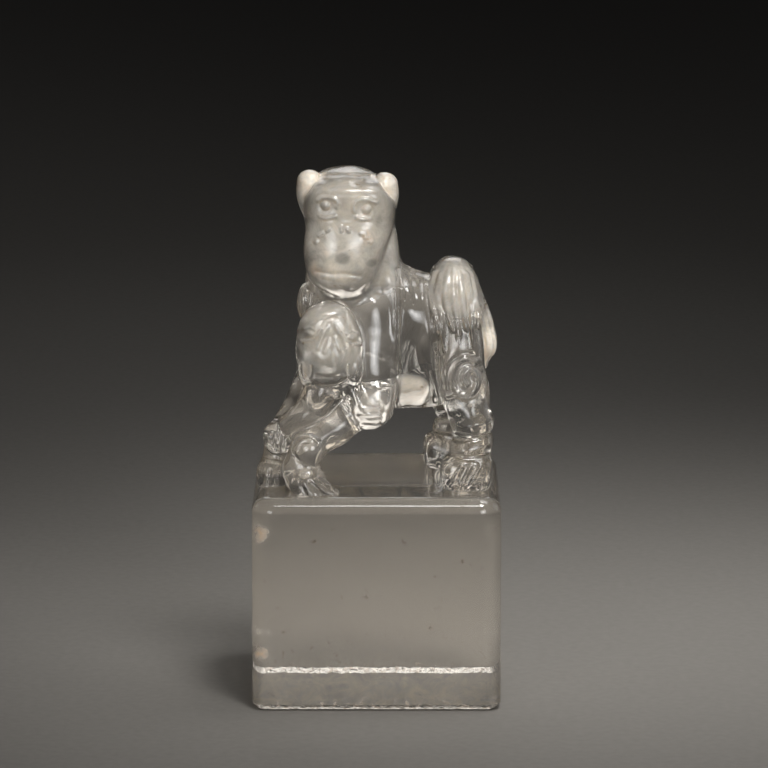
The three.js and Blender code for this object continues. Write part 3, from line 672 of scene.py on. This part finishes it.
def block_surface():
    """The block as a rounded square carried from the middle of the seal face, round its bevel, up the
    sides, over the round shoulder and in to the middle of the dished top. Each ring has a scale, a height
    and an inset: a point is the square's half side less the corner's radius at that height, plus the
    corner's arc less the inset, all times the scale. The bevel bulges as t times one less t. The top
    sinks by the dish times one less the square of x, times one less the square of y, both as shares of
    the flat's half side."""
    face_rings, bevel_rings, low_rings, high_rings = 12, 9, 20, 18
    shoulder_rings, top_rings, arc_points = 13, 24, 13
    closer_rings = -10
    face = [(k, -BLOCK_TOP, BEVEL) for k in np.linspace(0, 1, face_rings)]
    bow = [(t, SLANT * BOW * 4 * t * (1 - t)) for t in np.linspace(0, 1, bevel_rings)[1:]]
    rim = [(1.0, BEVEL * t - b - BLOCK_TOP, BEVEL * (1 - t) - b) for t, b in bow]
    low_levels = np.linspace(BEVEL - BLOCK_TOP, closer_rings, low_rings)[1:]
    high_levels = np.linspace(closer_rings, -SHOULDER, high_rings)[1:]
    sides = [(1.0, z, 0.0) for z in (*low_levels, *high_levels)]
    turn = np.linspace(0, math.pi / 2, shoulder_rings)[1:]
    over = [(1.0, SHOULDER * (math.sin(t) - 1), SHOULDER * (1 - math.cos(t))) for t in turn]
    top = [(k, 0.0, SHOULDER) for k in np.linspace(1, 0, top_rings)[1:]]
    rings = np.array(face + rim + sides + over + top)
    turned = np.arange(4)[:, None] * math.pi / 2 + np.linspace(0, math.pi / 2, arc_points)
    arc = np.stack([np.cos(turned), np.sin(turned)], 2).reshape(-1, 2)
    sign = np.repeat(np.array([(1, 1), (-1, 1), (-1, -1), (1, -1)], float), arc_points, 0)
    scale, height, inset = rings[:, 0, None, None], rings[:, 1, None], rings[:, 2, None, None]
    corner = corner_at(rings[:, 1])[:, None, None]
    flat = scale * (sign * (BLOCK_HALF - corner) + arc * (corner - inset))
    share = np.minimum(np.abs(flat) / (BLOCK_HALF - SHOULDER), 1) ** 2
    on_top = np.arange(len(rings))[:, None] >= len(rings) - len(top)
    height = np.where(on_top, -DISH * (1 - share[:, :, 0]) * (1 - share[:, :, 1]), height)
    points = np.concatenate([flat, height[:, :, None]], 2)
    grid = np.arange(points.shape[0] * points.shape[1]).reshape(points.shape[:2])
    a, b = grid[:-1], grid[1:]
    faces = np.stack([a, np.roll(a, -1, 1), np.roll(b, -1, 1), b], 2).reshape(-1, 4)
    return points.reshape(-1, 3), faces


def block_slope(p):
    """Outward direction of the block's surface: away from the rounded square in plan, tipping down on the
    bulging bevel and up over the shoulder, a little up where the corners grow rounder, and square to the
    dish on top."""
    z = p[:, 2]
    corner = corner_at(z)[:, None]
    out = p[:, :2] - np.clip(p[:, :2], corner - BLOCK_HALF, BLOCK_HALF - corner)
    out = out / np.maximum(np.linalg.norm(out, axis=1), TINY)[:, None]
    below = np.minimum(z + SHOULDER, 0)
    growth = -2 * below / GROWTH_REACH**2 * (corner[:, 0] - CORNER)
    up = ramp(z + SHOULDER, SHOULDER)
    level = (z + BLOCK_TOP) / BEVEL
    bulge = 4 * SLANT * BOW / BEVEL * (1 - 2 * level)
    up = np.where(level < 0.999, -np.sin(math.pi / 4 + bulge), up)
    up = up + np.where(below < 0, (np.abs(out).sum(1) - 1) * growth, 0)
    side = np.concatenate([out * np.sqrt(np.maximum(1 - up**2, 0))[:, None], up[:, None]], 1)
    share = p[:, :2] / (BLOCK_HALF - SHOULDER)
    dip = 2 * DISH * share * (1 - share[:, ::-1] ** 2) / (BLOCK_HALF - SHOULDER)
    top = np.concatenate([-dip, np.ones((len(p), 1))], 1)
    top = top / np.linalg.norm(top, axis=1)[:, None]
    on_top = (np.abs(share).max(1) < 1) & (z > -1.2 * DISH)
    return np.where(on_top[:, None], top, side)


def merged(piece):
    """Joins points of a piece that coincide, so that its poles close, and turns its faces outwards."""
    same_place = 0.001 * MM
    bm = bmesh.new()
    bm.from_mesh(piece.data)
    bmesh.ops.remove_doubles(bm, verts=bm.verts, dist=same_place)
    bmesh.ops.dissolve_degenerate(bm, edges=bm.edges, dist=same_place)
    bmesh.ops.recalc_face_normals(bm, faces=bm.faces)
    bm.to_mesh(piece.data)
    bm.free()
    return piece


def combined(piece, other, how):
    """The union, difference or meeting of two closed pieces, as the first piece's new mesh."""
    modifier = piece.modifiers.new(how.lower(), "BOOLEAN")
    modifier.operation = how
    modifier.solver = "MANIFOLD"
    modifier.object = other
    bpy.context.view_layer.update()
    made = bpy.data.meshes.new_from_object(piece.evaluated_get(bpy.context.evaluated_depsgraph_get()))
    piece.modifiers.clear()
    piece.data = made
    return piece


def box_piece(low, high):
    """A plain box between two corners, to cut pieces with."""
    corners = np.array([[(low, high)[k >> j & 1][j] for j in range(3)] for k in range(8)], float)
    faces = [(0, 2, 3, 1), (4, 5, 7, 6), (0, 1, 5, 4), (2, 6, 7, 3), (0, 4, 6, 2), (1, 3, 7, 5)]
    return mesh_of("cutter", corners, faces)


def share_of(piece, name, low, high, how):
    """A copy of a piece, cut to a box or with the box cut out of it."""
    made = bpy.data.objects.new(name, piece.data.copy())
    bpy.context.scene.collection.objects.link(made)
    cutter = box_piece(low, high)
    combined(made, cutter, how)
    made.data.name = name
    bpy.data.objects.remove(cutter)
    return made


# Where the crystal is parted into pieces: the levels of the neck and the feet, the plane behind the
# shoulder, the boxes of the two heads, and a distance past everything
NECK_CUT, FOOT_CUT, SHOULDER_CUT, FAR = 31.9, 0.8, 3.7, 60.0
LOWEST, HIGHEST = np.full(3, -FAR), np.full(3, FAR)
HEAD_BOX = np.array([-FAR, -FAR, NECK_CUT]), np.array([SHOULDER_CUT, FAR, FAR])
CUB_BOX = np.array([-14.5, -19.0, 16.9]), np.array([-1.7, -5.6, 31.4])

whole = mesh_of("whole", *carved(FIGURE_LOW, FIGURE_HIGH, GRAIN))
block = merged(mesh_of("block", *block_surface()))
combined(whole, block, "UNION")
fine_head = mesh_of("fine_head", *carved((-14.2, -15.4, NECK_CUT - 1.5), (5.6, 9.4, 52.6), FACE_GRAIN))
fine_cub = mesh_of("fine_cub", *carved((-15.0, -18.6, 15.5), (-0.6, -4.2, 32.2), FACE_GRAIN))

head = share_of(fine_head, "carved_head", *HEAD_BOX, "INTERSECT")
cub_head = share_of(fine_cub, "carved_cub", *CUB_BOX, "INTERSECT")
base = share_of(whole, "carved_block", LOWEST, (FAR, FAR, FOOT_CUT), "INTERSECT")
figure = share_of(whole, "figure", (-FAR, -FAR, FOOT_CUT), HIGHEST, "INTERSECT")
headless = share_of(figure, "headless", *HEAD_BOX, "DIFFERENCE")
body = share_of(headless, "body", *CUB_BOX, "DIFFERENCE")
fore = share_of(body, "carved_forequarters", LOWEST, (SHOULDER_CUT, FAR, FAR), "INTERSECT")
hind = share_of(body, "carved_hindquarters", (SHOULDER_CUT, -FAR, -FAR), HIGHEST, "INTERSECT")
PIECES = [head, cub_head, base, fore, hind]
for spare in (whole, block, fine_head, fine_cub, figure, headless, body):
    bpy.data.objects.remove(spare)


def read(group, name, width=1, kind=np.float32):
    """A property of each of a mesh's points, faces or corners, as an array with a row for each."""
    flat = np.empty(len(group) * width, kind)
    group.foreach_get(name, flat)
    return flat.reshape(-1, width) if width > 1 else flat


def positions(piece):
    """A piece's points in millimetres above the block's top."""
    return read(piece.data.vertices, "co", 3) / MM - (0, 0, BLOCK_TOP)


def clouding(points):
    """Share of milky cloud at points in millimetres above the block's top: rounded clouds that fade with
    the fourth power of the distance from their middles, over a trace all through, a cream patch low in the
    near flank that is partly milk and partly painted reflection, standing for the bright far side mirrored
    in the belly's underside, and small clear or white spots on the muzzle."""
    clouds = np.array(
        [
            # middle x, y, z, half sizes along x, y, z, and share
            (-4.6, -5.5, 40.5, 10.5, 11.5, 11.5, 0.58),
            (-5.4, -11.0, 37.6, 6.0, 5.0, 5.5, 0.68),
            (-10.8, -4.5, 48.6, 3.2, 4.5, 3.6, 1.25),
            (1.6, -4.5, 48.1, 3.2, 4.5, 3.6, 1.3),
            (-7.6, -12.0, 24.4, 6.6, 7.0, 7.6, 0.48),
            (18.4, 0.0, 22.0, 2.8, 5.5, 6.5, 1.4),
            (13.0, 0.0, 31.5, 5.6, 12.0, 6.5, 0.48),
            (4.0, 0.0, 34.0, 7.0, 10.0, 5.0, 0.16),
            (-11.0, -10.0, 8.0, 9.0, 8.0, 9.0, 0.15),
            (-1.0, -10.0, 13.0, 4.6, 6.0, 5.0, 0.34),
            (15.0, 0.0, 6.0, 6.0, 14.0, 6.0, 0.06),
            (14.0, 0.0, 18.0, 4.5, 14.0, 6.0, 0.2),
            (-1.0, -5.0, 22.0, 5.0, 8.0, 9.0, 0.12),
        ]
    )
    far = (((points[:, None, :] - clouds[:, :3]) / clouds[:, 3:6]) ** 2).sum(2)
    share = (clouds[:, 6] * np.exp(-(far**2))).max(1)
    # Cream patch low in the near flank: partly milk, partly painted reflection of the bright far side in
    # the belly's underside
    from_veil_and_reflection = (((points - (3.7, -9.0, 12.0)) / (5.0, 4.0, 6.2)) ** 4).sum(1)
    veil_and_reflection = np.where(points[:, 0] > 3.6, 0.72, 0.2)
    share = np.maximum(share, veil_and_reflection * np.exp(-(from_veil_and_reflection**4)))
    # x, z, radius and change of share: the nose, a clear spot and a white one
    spots = ((-5.42, 37.8, 1.05, -0.36), (-0.75, 36.9, 0.75, -0.2), (-8.3, 38.4, 0.7, 0.16))
    for x, z, radius, change in spots:
        from_spot = (0.75 * (points[:, 0] - x) ** 2 + 1.2 * (points[:, 2] - z) ** 2) / radius**2
        share += np.where(points[:, 1] < -6, change * np.exp(-(from_spot**3)), 0)
    return np.maximum(0.05, share)


# Haze in the block: the least share, what it gains towards the foot, the share of the height over which it
# thins again at the very foot, and what a thin skin at the top adds, over what depth. The gain towards the
# foot is partly frosting and partly painted light, which brightens the lower block in place of light from
# the floor behind it.
HAZE, FOOT_HAZE_AND_LIGHT, FOOT_SHARE, SKIN_HAZE, SKIN = 0.045, 0.135, 0.22, 0.1, 0.7


def set_clouding(piece):
    """Stores each point's share of milky cloud on the piece. The block's haze grows evenly from the top
    down, partly as frosting and partly as painted light that brightens the lower block, thins to a
    twentieth at the very foot, and has a thin skin at the top that fades as a bell curve does."""
    p = positions(piece)
    z = p[:, 2]
    thinned = 0.05 + 0.95 * ramp(1 + z / BLOCK_TOP, FOOT_SHARE)
    # The gain towards the foot is partly painted light: it brightens the lower block in place of light from
    # the floor behind it
    haze = HAZE + FOOT_HAZE_AND_LIGHT * ramp(-z, BLOCK_TOP) * thinned + SKIN_HAZE * np.exp(-((z / SKIN) ** 2))
    share = np.where(z < 0.3, haze, clouding(p))
    layer = piece.data.attributes.new("cloud", "FLOAT", "POINT")
    layer.data.foreach_set("value", share.astype(np.float32))


def linear(code):
    """An sRGB hex colour as linear red, green, blue and a full alpha."""
    srgb = [int(code[k : k + 2], 16) / 255 for k in (1, 3, 5)]
    return [c / 12.92 if c <= 0.04045 else ((c + 0.055) / 1.055) ** 2.4 for c in srgb] + [1]


def node(tree, kind, settings=(), **inputs):
    """Adds a shader node with its settings. Each input is a value, a socket that feeds it, or a node
    whose first live output does. An input's key is its name, or its number after an underscore."""
    made = tree.nodes.new("ShaderNode" + kind)
    for key, value in dict(settings).items():
        setattr(made, key, value)
    for key, value in inputs.items():
        socket = made.inputs[int(key[1:])] if key[1:].isdigit() else made.inputs[key.replace("_", " ")]
        if isinstance(value, bpy.types.Node):
            value = next(output for output in value.outputs if output.enabled)
        if isinstance(value, bpy.types.NodeSocket):
            tree.links.new(value, socket)
        else:
            socket.default_value = value
    return made


def material(name):
    """A new material with nothing in it, and its node tree."""
    made = bpy.data.materials.new(name)
    made.use_nodes = True
    made.node_tree.nodes.clear()
    return made, made.node_tree


def per_metre(size):
    """A noise pattern's scale, from the size of its features in millimetres."""
    return 1 / (size * MM)


# Settings of the nodes that do sums and mix colours. A MapRange node's numbered inputs are the range that
# it reads, 1 and 2, and the range that it gives, 3 and 4. A Mix node's are the share, 0, and the colours,
# 6 and 7.
PLUS, TIMES, TIMES_PLUS, APART = ({"operation": o} for o in ("ADD", "MULTIPLY", "MULTIPLY_ADD", "DISTANCE"))
COLOURS = {"data_type": "RGBA"}

QUARTZ_IOR = 1.544
CLEAR_QUARTZ = "#f6f0e6"

# Sizes of the patterns' features: drifts in the cloud, ragged edges of stains, chips and grime at the
# foot, specks, and waves left by the polishing wheel
DRIFT, RAGGED, CHIP, SPECK, WHEEL = 5.263, 1.429, 0.9091, 2.083, 3.333

STAINS = (
    # x, y and height above the seal face, reach and strength
    (-18.6, -19.6, 29.2, 1.7, 0.6),
    (-18.6, -19.6, 9.4, 1.6, 0.6),
    (-9.6, -11.2, 70.4, 1.7, 0.3),
    (-1.5, -12.0, 75.4, 1.4, 0.2),
)


def iron_stains(tree, place):
    """Rusty stains where iron seeped in: full near their middles, fading over their reach, with ragged
    edges that a noise draws by shifting the place that they are measured from."""
    shift = 3.0 * MM
    seep = node(tree, "TexNoise", Vector=place, Scale=per_metre(RAGGED), Detail=3.0)
    seep = node(tree, "VectorMath", TIMES_PLUS, _0=seep.outputs["Color"], _1=[shift] * 3, _2=place)
    stain = 0.0
    for x, y, z, reach, strength in STAINS:
        middle = Vector((x, y, z)) * MM + Vector([shift / 2] * 3)
        apart = node(tree, "VectorMath", APART, _0=seep, _1=middle)
        shade = node(tree, "MapRange", Value=apart, _1=0.2 * reach * MM, _2=reach * MM, _3=strength, _4=0.0)
        stain = node(tree, "Math", PLUS, _0=stain, _1=shade)
    return stain


def rock_crystal():
    """Rock crystal, cut and hand polished: clear, faintly warm quartz that bends what is seen through it.
    Milky clouds scatter the light from within and drift from thin to dense. Iron stains warm it in places,
    dark specks lie in it, brown mottling lies in the chips round the foot, and the wheel left slow waves in
    the polish."""
    made, tree = material("polished_rock_crystal")
    place = node(tree, "TexCoord").outputs["Object"]
    height = node(tree, "SeparateXYZ", Vector=place).outputs["Z"]
    cloud = node(tree, "Attribute", {"attribute_name": "cloud"}).outputs["Fac"]

    # Milk: the cloud, drifting more where it is dense, and thinner where the surface turns away
    drift = node(
        tree, "TexNoise", Vector=place, Scale=per_metre(DRIFT), Detail=6.0, Roughness=0.7, Distortion=0.5
    )
    least = node(tree, "MapRange", Value=cloud, _1=0.12, _2=0.3, _3=0.86, _4=0.55)
    most = node(tree, "MapRange", Value=cloud, _1=0.12, _2=0.3, _3=1.1, _4=1.3)
    drifted = node(tree, "MapRange", Value=drift, _1=0.3, _2=0.7, _3=least, _4=most)
    edge = node(tree, "LayerWeight", Blend=0.5).outputs["Facing"]
    deep = node(tree, "MapRange", Value=edge, _1=0.2, _2=0.95, _3=1.0, _4=0.6)
    milk = node(tree, "Math", TIMES, _0=cloud, _1=drifted)
    milk = node(tree, "Math", TIMES, _0=milk, _1=deep)

    # Stains, with brown mottling in the chips round the foot, and specks
    chips = node(tree, "TexNoise", Vector=place, Scale=per_metre(CHIP), Detail=3.0, Roughness=0.6)
    low_edge = node(tree, "MapRange", Value=height, _1=0.6 * MM, _2=3.0 * MM, _3=0.4, _4=0.0)
    foot_mottle = node(tree, "MapRange", Value=chips, _1=0.5, _2=0.66, _3=0.0, _4=1.0)
    stain = node(tree, "Math", TIMES_PLUS, _0=foot_mottle, _1=low_edge, _2=iron_stains(tree, place))
    specks = node(tree, "TexNoise", Vector=place, Scale=per_metre(SPECK), Detail=5.0, Roughness=0.75)
    speck = node(tree, "MapRange", Value=specks, _1=0.635, _2=0.71, _3=0.0, _4=1.0)
    milk = node(tree, "Math", PLUS, _0=milk, _1=stain)
    milk = node(tree, "Math", TIMES_PLUS, _0=speck, _1=0.1, _2=milk)

    # What the shader takes from them: milk stops light from passing and dulls the gloss, and dense cloud
    # glows within
    clear = node(tree, "MapRange", Value=milk, _1=0.0, _2=1.0, _3=1.0, _4=0.0)
    rough = node(tree, "MapRange", Value=milk, _1=0.0, _2=1.0, _3=0.025, _4=0.1)
    inward = node(tree, "MapRange", Value=cloud, _1=0.16, _2=0.32, _3=0.0, _4=1.0)
    tint = node(tree, "Mix", COLOURS, _0=milk, _6=linear(CLEAR_QUARTZ), _7=linear("#f7e8d7"))
    tint = node(tree, "Mix", COLOURS, _0=stain, _6=tint, _7=linear("#b58a54"))
    tint = node(tree, "Mix", COLOURS, _0=speck, _6=tint, _7=linear("#b09f86"))

    # The polish: slow waves, and chips round the foot
    waves = node(tree, "TexNoise", Vector=place, Scale=per_metre(WHEEL), Detail=2.0)
    at_foot = node(tree, "MapRange", Value=height, _1=0.4 * MM, _2=1.8 * MM, _3=2.2, _4=0.0)
    chipped = node(tree, "Math", TIMES, _0=chips, _1=at_foot)
    uneven = node(tree, "Math", PLUS, _0=waves, _1=chipped)
    polish = node(tree, "Bump", Height=uneven, Strength=0.6, Distance=0.06 * MM)
    shader = node(
        tree,
        "BsdfPrincipled",
        Base_Color=tint,
        Normal=polish,
        Roughness=rough,
        IOR=QUARTZ_IOR,
        Transmission_Weight=clear,
        Subsurface_Weight=inward,
        Subsurface_Radius=(1.0, 0.95, 0.88),
        Subsurface_Scale=1.6 * MM,
    )
    node(tree, "OutputMaterial", Surface=shader)
    return made


def ground_crystal():
    """Ground seal face: rock crystal left matt by the grit, which scatters what light reaches it. Its tint
    is painted shade: far darker than pale ground quartz, near black and dull ochre, for the shade where the
    face lies on the floor. Seen through the block it is a band of dark and ochre streaks, drawn out along Y
    by the strokes of the grinding."""
    vein, drawn_out = 3.846, 0.22
    made, tree = material("ground_rock_crystal")
    place = node(tree, "TexCoord").outputs["Object"]
    place = node(tree, "VectorMath", TIMES, _0=place, _1=(1.0, drawn_out, 1.0))
    grit = node(
        tree, "TexNoise", Vector=place, Scale=per_metre(vein), Detail=6.0, Roughness=0.7, Distortion=1.2
    )
    shaded_streaks = node(tree, "MapRange", Value=grit, _1=0.35, _2=0.65, _3=0.0, _4=1.0)
    # Painted shade: both colours are far darker than pale ground quartz, for the shade where the face lies
    # on the floor; the streaks stand for the grinding
    tint = node(tree, "Mix", COLOURS, _0=shaded_streaks, _6=linear("#1c1811"), _7=linear("#8a7a5c"))
    shader = node(
        tree, "BsdfPrincipled", Base_Color=tint, Roughness=0.6, IOR=QUARTZ_IOR, Transmission_Weight=0.3
    )
    node(tree, "OutputMaterial", Surface=shader)
    return made


def floor_paper():
    """Grey backdrop paper: matt, with a soft tooth that is drawn coarser than the real one, so that it
    shows."""
    tooth_size = 1.429
    made, tree = material("backdrop_paper")
    place = node(tree, "TexCoord").outputs["Object"]
    tooth = node(tree, "TexNoise", Vector=place, Scale=per_metre(tooth_size), Detail=3.0)
    tint = node(tree, "Mix", COLOURS, _0=tooth, _6=linear("#75716b"), _7=linear("#827e78"))
    shader = node(tree, "BsdfPrincipled", Base_Color=tint, Roughness=0.9)
    node(tree, "OutputMaterial", Surface=shader)
    return made


def bare_cut():
    """Uncut crystal: where one piece meets the next the real crystal has no surface to see, so the cut is
    left fully clear."""
    made, tree = material("uncut_crystal")
    shader = node(tree, "BsdfPrincipled", Base_Color=linear(CLEAR_QUARTZ), Alpha=0.0)
    node(tree, "OutputMaterial", Surface=shader)
    return made


POLISHED, GROUND, CUT = range(3)


def finish(piece, finishes):
    """Gives a piece its three finishes: polished all over, ground on the seal face, clear on the flat
    cuts. A face is on a cut where its middle lies at the cut's level and it faces straight out of it. The
    ground face and the cuts are flat, and corners on the block take the exact direction of its
    surface."""
    mesh = piece.data
    mesh.materials.clear()
    for each in finishes:
        mesh.materials.append(each)
    middle = read(mesh.polygons, "center", 3) / MM - (0, 0, BLOCK_TOP)
    facing = read(mesh.polygons, "normal", 3)
    sides = read(mesh.polygons, "loop_total", kind=np.int32)
    height = middle[:, 2]

    def flat_at(axis, level):
        return (np.abs(middle[:, axis] - level) < 0.002) & (np.abs(facing[:, axis]) > 0.999)

    on_cut = flat_at(2, NECK_CUT) | flat_at(2, FOOT_CUT) | flat_at(0, SHOULDER_CUT)
    by_cub = np.all((middle > CUB_BOX[0] - 0.01) & (middle < CUB_BOX[1] + 0.01), 1)
    for corner in CUB_BOX:
        for axis in range(3):
            on_cut |= flat_at(axis, corner[axis]) & by_cub
    index = np.where(on_cut, CUT, np.where(height < 0.02 - BLOCK_TOP, GROUND, POLISHED))
    mesh.polygons.foreach_set("material_index", index.astype(np.int32))
    mesh.polygons.foreach_set("use_smooth", index == POLISHED)

    slope = read(mesh.corner_normals, "vector", 3)
    exact = block_slope(positions(piece)[read(mesh.loops, "vertex_index", kind=np.int32)])
    on_block = (height < 0) & (height > 0.001 - BLOCK_TOP) & (index == POLISHED)
    agrees = (exact * np.repeat(facing, sides, 0)).sum(1) > 0.93
    corrected = np.repeat(on_block, sides) & agrees
    slope[corrected] = exact[corrected]
    mesh.normals_split_custom_set(slope)
    set_clouding(piece)


finishes = rock_crystal(), ground_crystal(), bare_cut()
for piece in PIECES:
    finish(piece, finishes)
    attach(piece, "root")
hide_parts("lion_head", "lion_left_ear", "lion_right_ear")
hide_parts("cub_head", "cub_left_ear", "cub_right_ear")
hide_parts("seal_block")
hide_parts("lion_chest", "near_foreleg", "far_foreleg", "cub_body", "cub_forepaw")
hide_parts("lion_torso", "near_hind_leg", "far_hind_leg", "tail_plume", "tail_tip")

# Floor, lamps and camera are in metres. The floor lies a little below the seal face.
FLOOR_HALF, FLOOR_LEVEL = 2.4, -0.0002
floor_mesh = bpy.data.meshes.new("floor")
FLOOR_WAYS = ((-1, -1), (1, -1), (1, 1), (-1, 1))
floor_corners = [(x * FLOOR_HALF, y * FLOOR_HALF, FLOOR_LEVEL) for x, y in FLOOR_WAYS]
floor_mesh.from_pydata(floor_corners, [], [(0, 1, 2, 3)])
floor = bpy.data.objects.new("floor", floor_mesh)
bpy.context.scene.collection.objects.link(floor)
floor_mesh.materials.append(floor_paper())


def soft_lamp(name, place, aim, size, power, spread):
    """A round soft lamp at a place, turned to its aim, with its beam narrowed to a spread in degrees."""
    lamp = bpy.data.lights.new(name, "AREA")
    lamp.shape = "DISK"
    lamp.size = size
    lamp.energy = power
    lamp.spread = math.radians(spread)
    made = bpy.data.objects.new(name, lamp)
    made.location = place
    made.rotation_euler = (Vector(aim) - Vector(place)).to_track_quat("-Z", "Y").to_euler()
    bpy.context.scene.collection.objects.link(made)


# The key and top light glint on the carving, the fills light the milky heads and the block's face, the
# floor lamp brightens the floor to the right, and the rims and back light draw the outline and shine
# through the block
soft_lamp("key", (0.12, -0.22, 0.47), (0.03, 0.01, 0.045), 0.16, 0.051, 30)
soft_lamp("top_light", (0.01, -0.26, 0.46), (-0.005, -0.01, 0.065), 0.1, 0.007, 30)
soft_lamp("right_fill", (0.205, -0.51, 0.21), (0.0, 0.0, 0.07), 0.44, 0.2, 36)
soft_lamp("left_fill", (-0.205, -0.51, 0.18), (0.0, 0.0, 0.075), 0.38, 0.076, 32)
soft_lamp("floor_lamp", (0.15, 0.05, 0.34), (0.08, 0.03, 0.0), 0.24, 0.065, 46)
soft_lamp("left_rim", (-0.42, 0.22, 0.26), (0.0, 0.0, 0.075), 0.30, 0.004, 24)
soft_lamp("right_rim", (0.48, 0.16, 0.20), (0.0, 0.0, 0.06), 0.38, 0.036, 60)
soft_lamp("back_light", (0.0, 0.60, 0.38), (0.0, 0.0, 0.03), 0.36, 0.034, 44)

STUDIO_GREY, STUDIO_STRENGTH = "#8a8a8c", 0.06
world = bpy.data.worlds.new("studio")
bpy.context.scene.world = world
world.use_nodes = True
world.node_tree.nodes["Background"].inputs["Color"].default_value = linear(STUDIO_GREY)
world.node_tree.nodes["Background"].inputs["Strength"].default_value = STUDIO_STRENGTH

# The camera looks at the middle of the picture from the front, a little from above, with a long lens
VIEW_AIM, VIEW_DISTANCE, VIEW_RISE = Vector((0.0012, 0, 0.04962)), 0.8, math.radians(10.6)
SENSOR_WIDTH, LENS, CLIP_END = 36, 230.3, 20
camera = bpy.data.cameras.new("camera")
camera.sensor_width = SENSOR_WIDTH
camera.lens = LENS
camera.clip_end = CLIP_END
viewer = bpy.data.objects.new("camera", camera)
viewer.location = VIEW_AIM + Vector((0, -math.cos(VIEW_RISE), math.sin(VIEW_RISE))) * VIEW_DISTANCE
viewer.rotation_euler = (math.pi / 2 - VIEW_RISE, 0, 0)
bpy.context.scene.collection.objects.link(viewer)
bpy.context.scene.camera = viewer
bpy.context.scene.view_settings.view_transform = "Standard"
